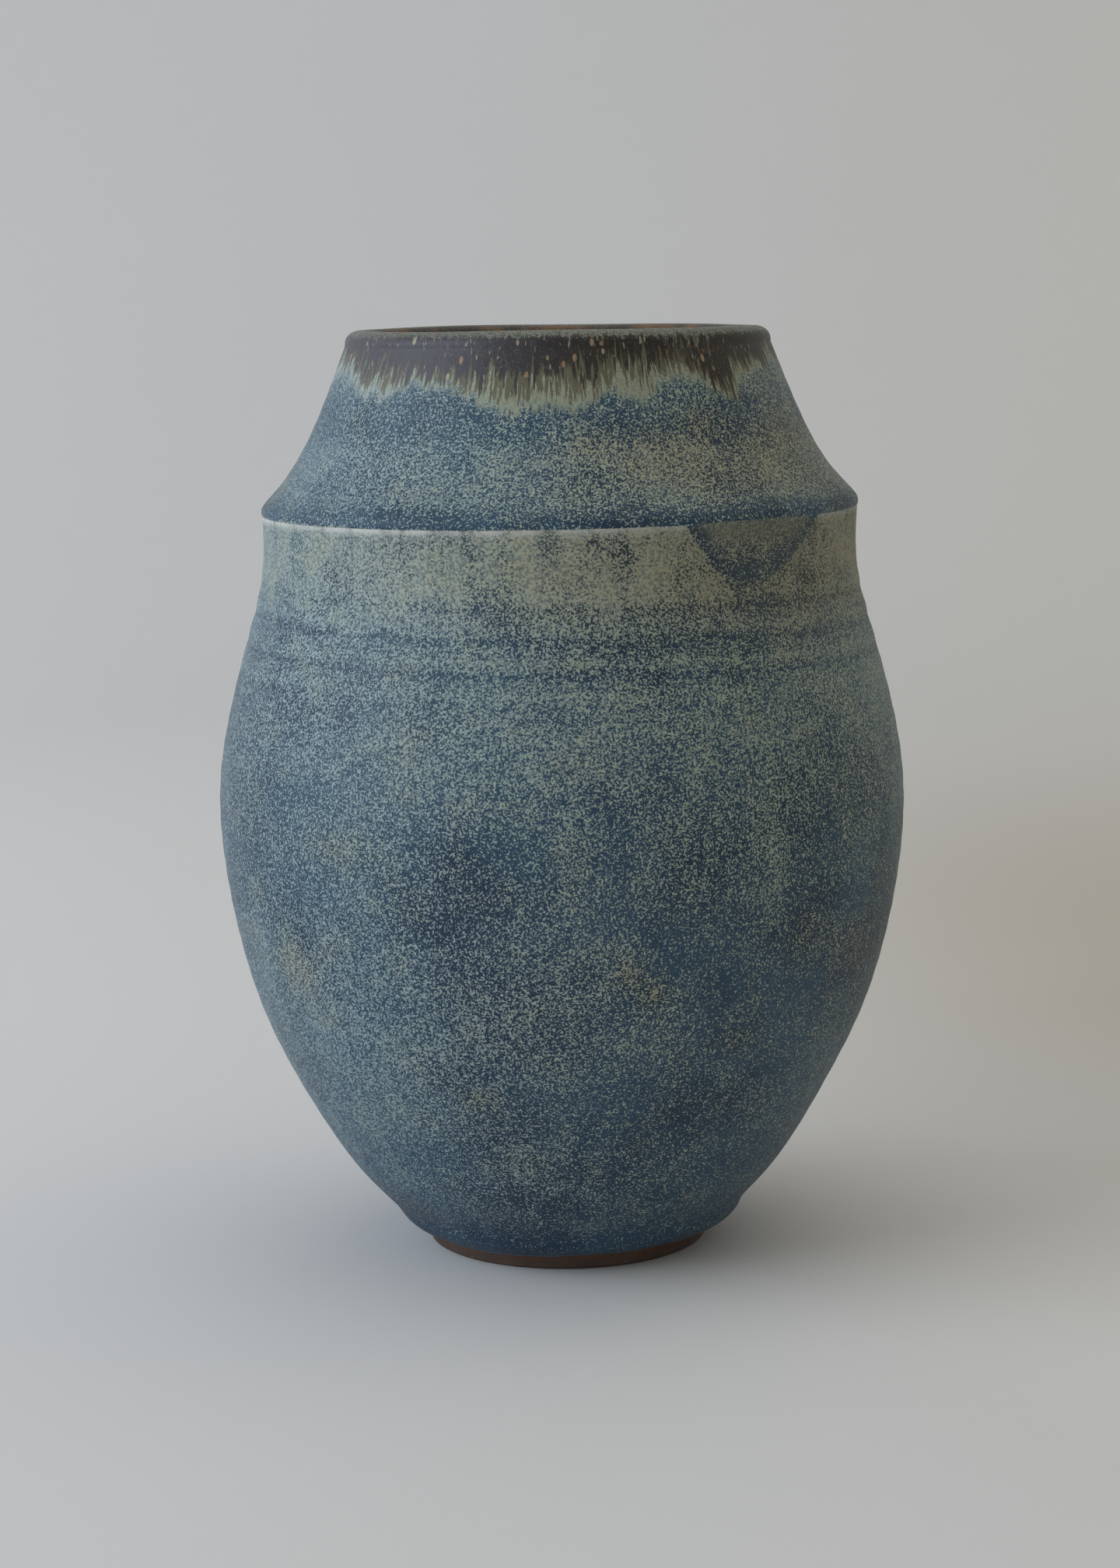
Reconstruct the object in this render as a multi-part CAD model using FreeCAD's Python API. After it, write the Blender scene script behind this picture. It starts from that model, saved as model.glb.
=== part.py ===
import FreeCAD, Part
import math
import os

# Stoneware pottery vase, thrown on the wheel in two sections and glazed.
# Millimetres. The axis of the vase is Z and the foot ring stands on z = 0.

# Overall form
HEIGHT = 290.0
BELLY_RADIUS = 108.1
BELLY_HEIGHT = 141.5
WAIST_RADIUS = 92.6
WAIST_HEIGHT = 222.0
RIDGE_RADIUS = 93.0
RIDGE_BOTTOM = 233.8
RIDGE_TOP_RADIUS = 91.8
RIDGE_TOP = 238.0
SHOULDER_TOP_RADIUS = 66.2
SHOULDER_TOP = 285.0
CREST_RADIUS = 60.8

# Turned foot
FOOT_OUTER_RADIUS = 44.4
FOOT_INNER_RADIUS = 36.6
FOOT_EDGE = 0.7
FOOT_RECESS = 3.5
FOOT_RECESS_RADIUS = 35.4
CLAY_LINE_RADIUS = 44.9
CLAY_LINE = 4.5
COLLAR_RADIUS = 56.5
COLLAR_TOP = 13.4

# Wall, floor and glaze
WALL = 6.2
FLOOR_TOP = 12.5
LIP_INNER_RADIUS = 57.0
LIP_INNER_HEIGHT = 285.6
GLAZE = 0.8
LINER = 0.6
RIM_BAND_BOTTOM = 277.0

# Luted seam between the two clay sections, at the ridge
SEAM_INNER_HEIGHT = 236.5
TONGUE_DEPTH = 2.6
TONGUE_WIDTH = 2.6
TONGUE_TAPER = 0.6

# Glaze run that hangs under the ridge on the right of the front
RUN_THICKNESS = 0.5
RUN_LEFT_ANGLE = -66.5
RUN_RIGHT_ANGLE = -33.5
RUN_TIP_ANGLE = -52.5
RUN_DROP = 19.5

FULL_TURN = 360.0
AXIS = FreeCAD.Vector(0, 0, 1)
ORIGIN = FreeCAD.Vector(0, 0, 0)


def at(radius, height):
    """A point of the profile, drawn in the plane through the axis."""
    return FreeCAD.Vector(radius, 0, height)


def smooth(points, start_slope, end_slope):
    """A smooth curve through profile points, leaving and arriving along the given directions."""
    curve = Part.BSplineCurve()
    curve.interpolate(
        Points=[at(r, z) for r, z in points],
        InitialTangent=at(*start_slope),
        FinalTangent=at(*end_slope),
    )
    return curve


def slope(curve, u):
    """The direction in which a curve runs at a parameter."""
    t = curve.tangent(u)[0]
    t.normalize()
    return t


def moved_in(curve, distance, spans):
    """The same profile curve, moved to the left of its run by the given distance."""
    first = curve.FirstParameter
    last = curve.LastParameter
    points = []
    for i in range(spans + 1):
        u = first + (last - first) * i / spans
        t = slope(curve, u)
        q = curve.value(u) + at(-t.z, t.x) * distance
        points.append((q.x, q.z))
    start = slope(curve, first)
    end = slope(curve, last)
    return smooth(points, (start.x, start.z), (end.x, end.z))


def line(a, b):
    """A straight edge between two points."""
    return Part.LineSegment(a, b).toShape()


def closed_outline(edges):
    """Joins edges that follow one another, with a straight edge where two of them don't meet."""
    joined = []
    for i, edge in enumerate(edges):
        following = edges[(i + 1) % len(edges)]
        joined.append(edge)
        a = edge.lastVertex(True).Point
        b = following.firstVertex(True).Point
        if a.distanceToPoint(b) > 1e-6:
            joined.append(line(a, b))
    return Part.Wire(joined)


def turned(wire):
    """Turns a closed outline into a solid of revolution."""
    face = Part.Face(wire)
    solid = face.revolve(ORIGIN, AXIS, FULL_TURN)
    if solid.Volume < 0:
        solid.reverse()
    return solid


def part_of(curve, start, end):
    """The edge of a curve between two parameters, running from start to end."""
    edge = Part.Edge(curve, min(start, end), max(start, end))
    if start > end:
        edge.reverse()
    return edge


def whole(curve, backwards=False):
    """The edge of a whole curve."""
    if backwards:
        return part_of(curve, curve.LastParameter, curve.FirstParameter)
    return part_of(curve, curve.FirstParameter, curve.LastParameter)


def at_height(curve, height):
    """The parameter at which a rising or falling curve passes a height."""
    low = curve.FirstParameter
    high = curve.LastParameter
    rising = curve.value(high).z > curve.value(low).z
    for _ in range(60):
        middle = (low + high) / 2
        if (curve.value(middle).z < height) == rising:
            low = middle
        else:
            high = middle
    return (low + high) / 2


def collar_skin():
    """Outside of the glaze over the turned collar above the foot."""
    return smooth([
        (CLAY_LINE_RADIUS + 0.9, CLAY_LINE + 0.2),
        (49.5, 6.0),
        (52.7, 8.0),
        (55.0, 10.6),
        (COLLAR_RADIUS, COLLAR_TOP),
    ], (1.0, 0.25), (0.48, 0.88))


def belly_skin():
    """Outside of the glaze from the collar, over the belly and the waist, to the ridge."""
    return smooth([
        (COLLAR_RADIUS, COLLAR_TOP),
        (69.2, 28.0),
        (84.9, 54.1),
        (97.0, 80.2),
        (105.1, 112.0),
        (BELLY_RADIUS, BELLY_HEIGHT),
        (105.6, 166.0),
        (98.9, 192.5),
        (93.9, 211.0),
        (WAIST_RADIUS, WAIST_HEIGHT),
        (92.7, 228.5),
        (RIDGE_RADIUS, RIDGE_BOTTOM),
    ], (0.69, 0.72), (0.08, 1.0))


def ridge_skin():
    """Outside of the glaze round the ridge, from the waist over to the shoulder."""
    return smooth([
        (RIDGE_RADIUS, RIDGE_BOTTOM),
        (93.2, 235.2),
        (92.95, 236.6),
        (RIDGE_TOP_RADIUS, RIDGE_TOP),
    ], (0.08, 1.0), (-0.68, 0.73))


def shoulder_skin():
    """Outside of the glaze from the ridge up the flared shoulder to the foot of the lip."""
    return smooth([
        (RIDGE_TOP_RADIUS, RIDGE_TOP),
        (84.6, 246.2),
        (77.9, 257.3),
        (72.0, 270.4),
        (SHOULDER_TOP_RADIUS, SHOULDER_TOP),
    ], (-0.68, 0.73), (-0.3, 0.95))


def lip_skin():
    """Outside of the glaze round the lip, from the shoulder over the crest to the mouth."""
    return smooth([
        (SHOULDER_TOP_RADIUS, SHOULDER_TOP),
        (66.05, 286.7),
        (65.4, 288.1),
        (64.2, 289.2),
        (62.6, 289.85),
        (CREST_RADIUS, HEIGHT),
        (59.1, 289.6),
        (57.8, 288.6),
        (57.2, 287.3),
        (LIP_INNER_RADIUS, LIP_INNER_HEIGHT),
    ], (-0.1, 1.0), (0.0, -1.0))


def inner_wall():
    """Inside of the clay, from the middle of the floor up to the mouth."""
    return smooth([
        (0.0, FLOOR_TOP),
        (28.0, 13.4),
        (45.5, 19.0),
        (59.6, 32.0),
        (77.4, 57.5),
        (90.2, 84.0),
        (98.4, 113.5),
        (BELLY_RADIUS - GLAZE - WALL, BELLY_HEIGHT),
        (98.7, 165.0),
        (92.3, 190.5),
        (87.2, 210.0),
        (85.2, 222.0),
        (82.4, 234.0),
        (77.4, 246.0),
        (71.6, 257.5),
        (65.3, 270.0),
        (60.9, 279.0),
        (LIP_INNER_RADIUS + GLAZE, LIP_INNER_HEIGHT),
    ], (1.0, 0.0), (-0.42, 0.91))


COLLAR = collar_skin()
BELLY = belly_skin()
RIDGE = ridge_skin()
SHOULDER = shoulder_skin()
LIP = lip_skin()
INSIDE = inner_wall()

COLLAR_CLAY = moved_in(COLLAR, GLAZE, 8)
BELLY_CLAY = moved_in(BELLY, GLAZE, 24)
RIDGE_CLAY = moved_in(RIDGE, GLAZE, 6)
SHOULDER_CLAY = moved_in(SHOULDER, GLAZE, 12)
LIP_CLAY = moved_in(LIP, GLAZE, 14)
LINER_SKIN = moved_in(INSIDE, LINER, 32)

SEAM_OUTER = SHOULDER_CLAY.value(SHOULDER_CLAY.FirstParameter)
SEAM_INNER_AT = at_height(INSIDE, SEAM_INNER_HEIGHT)


def seam():
    """The luted seam, from the outside in: a flat bed with a tongue that keys the two sections."""
    inner = INSIDE.value(SEAM_INNER_AT)
    bed = SEAM_OUTER.z
    middle = (SEAM_OUTER.x + inner.x) / 2
    half = TONGUE_WIDTH / 2
    tip = half * TONGUE_TAPER
    corners = [
        SEAM_OUTER,
        at(middle + half, bed),
        at(middle + tip, bed - TONGUE_DEPTH),
        at(middle - tip, bed - TONGUE_DEPTH),
        at(middle - half, bed),
        inner,
    ]
    return [line(a, b) for a, b in zip(corners, corners[1:])]


def reversed_edges(edges):
    """The same edges, run the other way."""
    result = []
    for edge in reversed(edges):
        a = edge.firstVertex(True).Point
        b = edge.lastVertex(True).Point
        result.append(line(b, a))
    return result


def lower_body():
    """Foot ring, floor, belly and waist: the section thrown first."""
    foot = [
        at(0, FOOT_RECESS),
        at(FOOT_RECESS_RADIUS, FOOT_RECESS),
        at(FOOT_INNER_RADIUS, FOOT_EDGE),
        at(FOOT_INNER_RADIUS + FOOT_EDGE, 0),
        at(FOOT_OUTER_RADIUS - FOOT_EDGE, 0),
        at(FOOT_OUTER_RADIUS, FOOT_EDGE),
        at(CLAY_LINE_RADIUS, CLAY_LINE),
    ]
    edges = [line(a, b) for a, b in zip(foot, foot[1:])]
    edges.append(whole(COLLAR_CLAY))
    edges.append(whole(BELLY_CLAY))
    edges.append(whole(RIDGE_CLAY))
    edges += seam()
    edges.append(part_of(INSIDE, SEAM_INNER_AT, INSIDE.FirstParameter))
    return turned(closed_outline(edges))


def shoulder_section():
    """Flared shoulder and lip: the second section, luted onto the lower body at the ridge."""
    edges = [whole(SHOULDER_CLAY), whole(LIP_CLAY)]
    edges.append(part_of(INSIDE, INSIDE.LastParameter, SEAM_INNER_AT))
    edges += reversed_edges(seam())
    return turned(closed_outline(edges))


def belly_glaze():
    """Blue glaze from the bare clay of the foot up to the underside of the ridge."""
    edges = [
        line(at(CLAY_LINE_RADIUS, CLAY_LINE), COLLAR.value(COLLAR.FirstParameter)),
        whole(COLLAR),
        whole(BELLY),
        whole(BELLY_CLAY, backwards=True),
        whole(COLLAR_CLAY, backwards=True),
    ]
    return turned(closed_outline(edges))


def shoulder_glaze():
    """Blue glaze over the ridge and up the shoulder to the dark band."""
    skin_end = at_height(SHOULDER, RIM_BAND_BOTTOM)
    clay_end = at_height(SHOULDER_CLAY, RIM_BAND_BOTTOM)
    edges = [
        whole(RIDGE),
        part_of(SHOULDER, SHOULDER.FirstParameter, skin_end),
        part_of(SHOULDER_CLAY, clay_end, SHOULDER_CLAY.FirstParameter),
        whole(RIDGE_CLAY, backwards=True),
    ]
    return turned(closed_outline(edges))


def rim_glaze():
    """Dark glaze band under the lip, over the crest and down to the mouth."""
    skin_start = at_height(SHOULDER, RIM_BAND_BOTTOM)
    clay_start = at_height(SHOULDER_CLAY, RIM_BAND_BOTTOM)
    edges = [
        part_of(SHOULDER, skin_start, SHOULDER.LastParameter),
        whole(LIP),
        whole(LIP_CLAY, backwards=True),
        part_of(SHOULDER_CLAY, SHOULDER_CLAY.LastParameter, clay_start),
    ]
    return turned(closed_outline(edges))


def liner_glaze():
    """Rust-brown glaze poured over the whole inside."""
    centre = at(0, LINER_SKIN.value(LINER_SKIN.FirstParameter).z)
    edges = [
        whole(INSIDE),
        whole(LINER_SKIN, backwards=True),
        line(centre, at(0, FLOOR_TOP)),
    ]
    return turned(closed_outline(edges))


def run_outline():
    """The three-cornered outline of the run, seen square on, with its drips joined by a soft curve."""
    middle = (RUN_LEFT_ANGLE + RUN_RIGHT_ANGLE) / 2
    near = RIDGE_RADIUS * 0.6

    def corner(angle, drop):
        across = RIDGE_RADIUS * math.sin(math.radians(angle - middle))
        return FreeCAD.Vector(near, across, RIDGE_BOTTOM - drop)

    points = [
        corner(RUN_LEFT_ANGLE, 0),
        corner(RUN_LEFT_ANGLE * 0.62 + RUN_TIP_ANGLE * 0.38, RUN_DROP * 0.5),
        corner(RUN_TIP_ANGLE, RUN_DROP),
        corner(RUN_RIGHT_ANGLE * 0.55 + RUN_TIP_ANGLE * 0.45, RUN_DROP * 0.5),
        corner(RUN_RIGHT_ANGLE, 0),
    ]
    lower = Part.BSplineCurve()
    lower.interpolate(points)
    return Part.Wire([lower.toShape(), line(points[-1], points[0])]), middle


def glaze_run():
    """A thick run of the shoulder glaze that came over the ridge and hangs on the belly glaze."""
    outer = moved_in(BELLY, -RUN_THICKNESS, 24)
    low = RIDGE_BOTTOM - RUN_DROP * 1.3
    skin_low = at_height(BELLY, low)
    outer_low = at_height(outer, low)
    band = turned(closed_outline([
        part_of(outer, outer_low, outer.LastParameter),
        part_of(BELLY, BELLY.LastParameter, skin_low),
    ]))
    outline, middle = run_outline()
    block = Part.Face(outline).extrude(at(RIDGE_RADIUS * 0.6, 0))
    block.rotate(ORIGIN, AXIS, middle)
    return band.common(block).Solids[0]


PARTS = {
    "lower_body": lower_body,
    "shoulder_section": shoulder_section,
    "belly_glaze": belly_glaze,
    "shoulder_glaze": shoulder_glaze,
    "rim_glaze": rim_glaze,
    "liner_glaze": liner_glaze,
    "glaze_run": glaze_run,
}

os.makedirs("parts", exist_ok=True)
for name, make in PARTS.items():
    shape = make()
    if not shape.isValid():
        raise RuntimeError(name + " is not a valid solid")
    shape.exportStep("parts/" + name + ".step")
    box = shape.BoundBox
    print(name, shape.ShapeType, round(shape.Volume), [round(v, 2) for v in (
        box.XMin, box.YMin, box.ZMin, box.XMax, box.YMax, box.ZMax)])
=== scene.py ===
import math

import bpy
import numpy as np
from mathutils import Matrix, Vector


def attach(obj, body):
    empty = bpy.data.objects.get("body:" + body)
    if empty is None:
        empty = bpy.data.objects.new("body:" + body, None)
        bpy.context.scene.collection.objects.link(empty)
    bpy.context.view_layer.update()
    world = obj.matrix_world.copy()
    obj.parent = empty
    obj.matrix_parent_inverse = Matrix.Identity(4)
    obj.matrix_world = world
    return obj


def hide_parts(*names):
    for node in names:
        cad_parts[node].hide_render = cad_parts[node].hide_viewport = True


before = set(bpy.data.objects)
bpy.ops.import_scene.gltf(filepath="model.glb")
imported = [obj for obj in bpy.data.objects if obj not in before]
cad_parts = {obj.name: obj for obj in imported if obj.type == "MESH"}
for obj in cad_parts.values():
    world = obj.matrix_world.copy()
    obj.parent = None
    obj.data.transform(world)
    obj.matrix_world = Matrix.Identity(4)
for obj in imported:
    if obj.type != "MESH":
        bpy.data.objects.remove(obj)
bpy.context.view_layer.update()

MM = 0.001
SEGMENTS = 384
SHARP_ANGLE = math.radians(48.0)

# ---------------------------------------------------------------------------
# The vase's profile, in millimetres: (radius, height)
# ---------------------------------------------------------------------------

CREASE = 233.95
BAND_BOTTOM = 277.0
GLAZE = 0.8
LINER = 0.6

COLLAR = [(45.6, 4.7), (49.4, 6.0), (52.7, 8.0), (55.0, 10.6), (56.5, 13.4)]
BELLY = [
    (56.5, 13.4), (60.75, 18.1), (69.2, 28.0), (84.9, 54.1), (97.0, 80.2), (105.1, 112.0),
    (108.1, 141.5), (105.6, 166.0), (98.9, 192.5), (93.9, 211.0), (92.7, 222.0), (92.75, 228.0),
    (93.0, 233.8),
]
RIDGE = [(93.0, 233.8), (93.2, 234.2), (93.25, 235.0), (93.1, 236.0), (92.3, 237.3), (89.8, 240.1)]
SHOULDER = [(89.8, 240.1), (84.6, 246.2), (77.9, 257.3), (72.0, 270.4), (66.2, 285.0)]
RIDGE_TO_LIP = RIDGE + SHOULDER[1:]
LIP = [
    (66.2, 285.0), (66.05, 286.7), (65.4, 288.1), (64.2, 289.2), (62.6, 289.85), (60.8, 290.0),
    (59.1, 289.6), (57.8, 288.6), (57.2, 287.3), (57.0, 285.6),
]
INSIDE = [
    (0.0, 13.1), (14.0, 13.15), (28.0, 14.2), (45.2, 19.7), (59.0, 32.6), (76.9, 57.8),
    (89.6, 84.2), (97.8, 113.6), (100.5, 141.5), (98.1, 164.9), (91.7, 190.4), (86.6, 209.9),
    (84.6, 221.9), (81.9, 233.7), (76.9, 245.7), (71.1, 257.2), (64.8, 269.7), (60.4, 278.7),
    (57.2, 285.4),
]
FOOT_RECESS = 3.5
FLOOR_TOP = 12.5
SEAM = 236.1
SEAM_OUTER = 91.6
SEAM_INNER = 81.3
RIDGE_TILT = 0.6
RING_PITCH = 9.4
RING_START = 201.3
LINER_RING_PITCH = 9.0


def spline(points, step):
    """Points along a smooth curve through the given ones, about step apart."""
    p = np.array(points, float)
    chord = np.sqrt(np.maximum(np.hypot(*np.diff(p, axis=0).T), 1e-9))
    t = np.r_[0, np.cumsum(chord)]
    n = len(p)
    h = np.diff(t)
    system = np.eye(n)
    right = np.zeros((n, 2))
    for i in range(1, n - 1):
        system[i, i - 1] = h[i - 1]
        system[i, i] = 2 * (h[i - 1] + h[i])
        system[i, i + 1] = h[i]
        right[i] = 6 * ((p[i + 1] - p[i]) / h[i] - (p[i] - p[i - 1]) / h[i - 1])
    bend = np.linalg.solve(system, right)
    out = []
    for i in range(n - 1):
        length = float(np.hypot(*(p[i + 1] - p[i])))
        count = max(1, int(math.ceil(length / step)))
        u = np.arange(count) / count * h[i]
        v = h[i] - u
        q = (
            bend[i] * (v[:, None] ** 3) / (6 * h[i])
            + bend[i + 1] * (u[:, None] ** 3) / (6 * h[i])
            + (p[i] / h[i] - bend[i] * h[i] / 6) * v[:, None]
            + (p[i + 1] / h[i] - bend[i + 1] * h[i] / 6) * u[:, None]
        )
        out.append(q)
    out.append(p[-1:])
    return np.concatenate(out)


def inset(curve, distance):
    """The same run of points moved to the left of its direction."""
    d = np.gradient(curve, axis=0)
    d /= np.maximum(np.hypot(d[:, 0], d[:, 1])[:, None], 1e-9)
    return curve + np.stack([-d[:, 1], d[:, 0]], 1) * distance


def bump(x, middle, width):
    """A soft hump, 1 at the middle."""
    return np.exp(-((x - middle) / width) ** 2)


def step_up(x, low, high):
    """Rises smoothly from 0 to 1 between low and high."""
    t = np.clip((x - low) / (high - low), 0, 1)
    return t * t * (3 - 2 * t)


# ---------------------------------------------------------------------------
# What the potter's hands and the kiln did to the plain profile
# ---------------------------------------------------------------------------

def rings(phi, z):
    """Throwing rings: a shallow spiral groove, strongest just under the waist."""
    turn = phi / (2 * math.pi)
    upper = bump(z, 204.0, 13.0)
    pull = 2 * math.pi * ((z - RING_START) / RING_PITCH + turn)
    spiral = -(np.cos(pull) + 0.35 * np.cos(2 * pull - 0.9)) * 0.15 * upper
    faint = np.cos(2 * math.pi * (z / 8.5 + turn) + 0.6 * np.sin(z / 19.0)) * 0.06
    faint = faint * step_up(z, 20.0, 60.0) * (1 - step_up(z, 214.0, 226.0))
    shoulder = np.cos(2 * math.pi * (z / 6.8 + turn)) * 0.05
    shoulder = shoulder * step_up(z, 238.0, 244.0) * (1 - step_up(z, 274.0, 282.0))
    return spiral + faint + shoulder


def wobble(phi, z):
    """The wall isn't quite round, and the glaze isn't quite even."""
    slow = 0.2 * np.sin(2 * phi) * np.sin(z / 40.0) + 0.12 * np.cos(3 * phi) * np.cos(z / 30.0)
    slow = slow + 0.05 * np.cos(7 * phi + z / 14.0) + 0.035 * np.cos(11 * phi - z / 9.0 + 2.0)
    side = 0.65 * bump(z, 10.4, 3.2) * np.sin(phi)
    return slow * step_up(z, 6.0, 30.0) + side


LEAN = [
    (0, -0.6), (15, -0.75), (30, -0.95), (55, -1.1), (80, -0.85), (110, -0.65), (190, -0.4),
    (222, -0.2), (240, 0.1), (262, 0.2), (280, 0.0), (290, 0.0),
]


def lean(z):
    """How far the wall at a height sits to the side of the rim's centre."""
    return np.interp(z, [h for h, _ in LEAN], [d for _, d in LEAN])


def tilt(phi, z):
    """The ridge was finished a little higher on one side."""
    return RIDGE_TILT * np.sin(phi) * bump(z, 236.5, 12.0)


def rim_wave(phi, z):
    """The lip's height wanders by a few tenths of a millimetre."""
    wave = 0.16 * np.sin(2 * phi + 0.8) + 0.1 * np.sin(5 * phi + 2.1)
    return wave * step_up(z, 280.0, 289.0)


def foot_wave(phi, z):
    """The edge of the glaze over the foot rises and falls."""
    wave = 0.3 * np.sin(2 * phi + 0.5) + 0.18 * np.sin(5 * phi + 1.0) + 0.1 * np.sin(13 * phi)
    return wave * (1 - step_up(z, 4.6, 8.5))


def place(phi, r, z, outer, glaze_edge=1.0):
    """World points of profile points; outer is 1 on the outside skin and 0 on hidden faces."""
    r = r + outer * (rings(phi, z) + wobble(phi, z))
    h = z + tilt(phi, z) + rim_wave(phi, z) + foot_wave(phi, z) * glaze_edge
    x = r * np.sin(phi) + lean(z)
    y = -r * np.cos(phi)
    return np.stack([x, y, h], -1) * MM


def mesh_object(name, verts, faces, material, node):
    """A mesh object in the row frame that stands for one CAD node."""
    mesh = bpy.data.meshes.new(name)
    mesh.from_pydata(verts.tolist(), [], faces)
    mesh.validate()
    mesh.update()
    mesh.polygons.foreach_set("use_smooth", [True] * len(mesh.polygons))
    mesh.set_sharp_from_angle(angle=SHARP_ANGLE)
    mesh.materials.append(material)
    obj = bpy.data.objects.new(name, mesh)
    bpy.context.scene.collection.objects.link(obj)
    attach(obj, "root")
    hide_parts(node)
    return obj


def lathe(name, loop, outer, material, node, glaze_edge=1.0, segments=None):
    """Turns a closed loop of profile points into a closed mesh. Points on the axis become one vertex."""
    count = segments or SEGMENTS
    phi = np.linspace(-math.pi, math.pi, count, endpoint=False)
    verts = []
    rows = []
    for (r, z), skin in zip(loop, outer):
        if r < 1e-6:
            rows.append([len(verts)])
            verts.append([float(lean(z)) * MM, 0.0, z * MM])
            continue
        ring = place(phi, np.full(count, r), np.full(count, z), skin, glaze_edge)
        rows.append(list(range(len(verts), len(verts) + count)))
        verts += ring.tolist()
    faces = []
    n = len(rows)
    for i in range(n):
        a = rows[i]
        b = rows[(i + 1) % n]
        if len(a) == 1 and len(b) == 1:
            continue
        for k in range(count):
            m = (k + 1) % count
            if len(a) == 1:
                faces.append((a[0], b[m], b[k]))
            elif len(b) == 1:
                faces.append((a[k], a[m], b[0]))
            else:
                faces.append((a[k], a[m], b[m], b[k]))
    return mesh_object(name, np.array(verts), faces, material, node)


# ---------------------------------------------------------------------------
# Materials
# ---------------------------------------------------------------------------

class Graph:
    """Builds one material's nodes."""

    def __init__(self, name):
        self.material = bpy.data.materials.new(name)
        self.material.use_nodes = True
        self.tree = self.material.node_tree
        self.tree.nodes.clear()
        self.shader = self.node("ShaderNodeBsdfPrincipled")
        output = self.node("ShaderNodeOutputMaterial")
        self.link(self.shader.outputs["BSDF"], output.inputs["Surface"])
        self.point = self.node("ShaderNodeTexCoord").outputs["Object"]
        split = self.node("ShaderNodeSeparateXYZ")
        self.link(self.point, split.inputs[0])
        self.x, self.y, self.z = split.outputs

    def node(self, kind):
        return self.tree.nodes.new(kind)

    def link(self, source, target):
        self.tree.links.new(source, target)

    def feed(self, socket, value):
        if isinstance(value, bpy.types.NodeSocket):
            self.link(value, socket)
        else:
            socket.default_value = value

    def math(self, operation, *values):
        node = self.node("ShaderNodeMath")
        node.operation = operation
        for socket, value in zip(node.inputs, values):
            self.feed(socket, value)
        return node.outputs[0]

    def add(self, *values):
        total = values[0]
        for value in values[1:]:
            total = self.math("ADD", total, value)
        return total

    def sub(self, a, b):
        return self.math("SUBTRACT", a, b)

    def mul(self, *values):
        total = values[0]
        for value in values[1:]:
            total = self.math("MULTIPLY", total, value)
        return total

    def low(self, a, b):
        return self.math("MINIMUM", a, b)

    def high(self, a, b):
        return self.math("MAXIMUM", a, b)

    def rise(self, value, start, end):
        """0 below start, 1 above end, smooth between."""
        node = self.node("ShaderNodeMapRange")
        node.interpolation_type = "SMOOTHSTEP"
        node.clamp = True
        self.feed(node.inputs["Value"], value)
        self.feed(node.inputs["From Min"], start)
        self.feed(node.inputs["From Max"], end)
        return node.outputs[0]

    def fall(self, value, start, end):
        return self.sub(1.0, self.rise(value, start, end))

    def band(self, value, start, full, fading, end):
        return self.mul(self.rise(value, start, full), self.fall(value, fading, end))

    def vector(self, x, y, z):
        node = self.node("ShaderNodeCombineXYZ")
        for socket, value in zip(node.inputs, (x, y, z)):
            self.feed(socket, value)
        return node.outputs[0]

    def noise(self, vector, scale, detail, rough):
        node = self.node("ShaderNodeTexNoise")
        self.link(vector, node.inputs["Vector"])
        node.inputs["Scale"].default_value = scale
        node.inputs["Detail"].default_value = detail
        node.inputs["Roughness"].default_value = rough
        return node.outputs[0]

    def cells(self, vector, scale):
        """Distance to the nearest cell's centre, and a colour that is that cell's own."""
        node = self.node("ShaderNodeTexVoronoi")
        self.link(vector, node.inputs["Vector"])
        node.inputs["Scale"].default_value = scale
        return node.outputs["Distance"], node.outputs["Color"]

    def channel(self, colour, index):
        node = self.node("ShaderNodeSeparateColor")
        self.link(colour, node.inputs[0])
        return node.outputs[index]

    def blend(self, amount, a, b):
        node = self.node("ShaderNodeMix")
        node.data_type = "RGBA"
        self.feed(node.inputs[0], amount)
        self.feed(node.inputs[6], a if isinstance(a, bpy.types.NodeSocket) else (*a, 1.0))
        self.feed(node.inputs[7], b if isinstance(b, bpy.types.NodeSocket) else (*b, 1.0))
        return node.outputs[2]

    def curve(self, value, points, low, high):
        """A smooth function of value through (value, result) points between the two limits."""
        node = self.node("ShaderNodeFloatCurve")
        line = node.mapping.curves[0]
        first = points[0][0]
        last = points[-1][0]
        share = [((v - first) / (last - first), (w - low) / (high - low)) for v, w in points]
        line.points[0].location = share[0]
        line.points[1].location = share[-1]
        for spot in share[1:-1]:
            line.points.new(*spot)
        node.mapping.update()
        span = self.mul(self.sub(value, first), 1.0 / (last - first))
        self.link(span, node.inputs["Value"])
        return self.add(self.mul(node.outputs[0], high - low), low)

    def bumps(self, *layers):
        """Adds bump layers of (height socket, distance in metres, strength) to the shader's normal."""
        normal = None
        for height, distance, strength in layers:
            node = self.node("ShaderNodeBump")
            node.inputs["Distance"].default_value = distance
            node.inputs["Strength"].default_value = strength
            self.link(height, node.inputs["Height"])
            if normal is not None:
                self.link(normal, node.inputs["Normal"])
            normal = node.outputs[0]
        self.link(normal, self.shader.inputs["Normal"])


def cylinder(g):
    """Height in mm, angle from the front in degrees, radius in mm, and the direction out from the axis."""
    height = g.mul(g.z, 1000.0)
    angle = g.mul(g.math("ARCTAN2", g.x, g.mul(g.y, -1.0)), 180.0 / math.pi)
    radius = g.math("SQRT", g.add(g.mul(g.x, g.x), g.mul(g.y, g.y)))
    across = g.math("DIVIDE", g.x, radius)
    along = g.math("DIVIDE", g.y, radius)
    return height, angle, g.mul(radius, 1000.0), across, along


def on_right(g, angle, start, end):
    """0 on the front's left and 1 on its right; falls back to 0 before the two meet behind."""
    return g.band(angle, start, end, 100.0, 172.0)


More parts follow.
